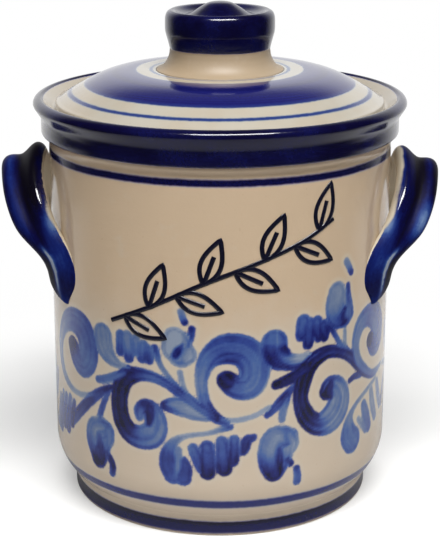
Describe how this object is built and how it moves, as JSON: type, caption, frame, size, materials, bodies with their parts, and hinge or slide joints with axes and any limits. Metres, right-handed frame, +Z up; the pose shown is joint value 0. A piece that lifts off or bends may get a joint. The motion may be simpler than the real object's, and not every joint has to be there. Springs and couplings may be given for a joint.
{
  "type": "rumtopf pot",
  "caption": "Tall lidded stoneware crock with two strap handles, a rolled rim with a gallery, and a domed lift-off lid with a button knob, for steeping and storing fruit.",
  "frame": {"origin": "on the pot's axis at the level of the foot ring's underside", "axes": "+Z up along the turned axis, +X towards the middle of the right handle, -Y towards the front"},
  "size_m": [0.2312, 0.1954, 0.2643],
  "materials": {
    "salt_glazed_body": "glossy salt glaze over grey-cream stoneware, brushed cobalt decoration",
    "cobalt_handles": "glossy dark cobalt over stoneware, bare cream at the back of the strap",
    "salt_glazed_lid": "glossy salt glaze over grey-cream stoneware, brushed cobalt rings",
    "cobalt_knob": "glossy dark cobalt over stoneware, bare cream neck"
  },
  "bodies": {
    "crock": {"crock": "salt_glazed_body", "handle_left": "cobalt_handles", "handle_right": "cobalt_handles"},
    "lid": {"lid": "salt_glazed_lid", "lid_knob": "cobalt_knob"}
  },
  "joints": [
    {"name": "lid_lift", "type": "slide", "parent": "crock", "child": "lid", "axis": [0, 0, 1], "range_m": [0, 0.12]}
  ]
}
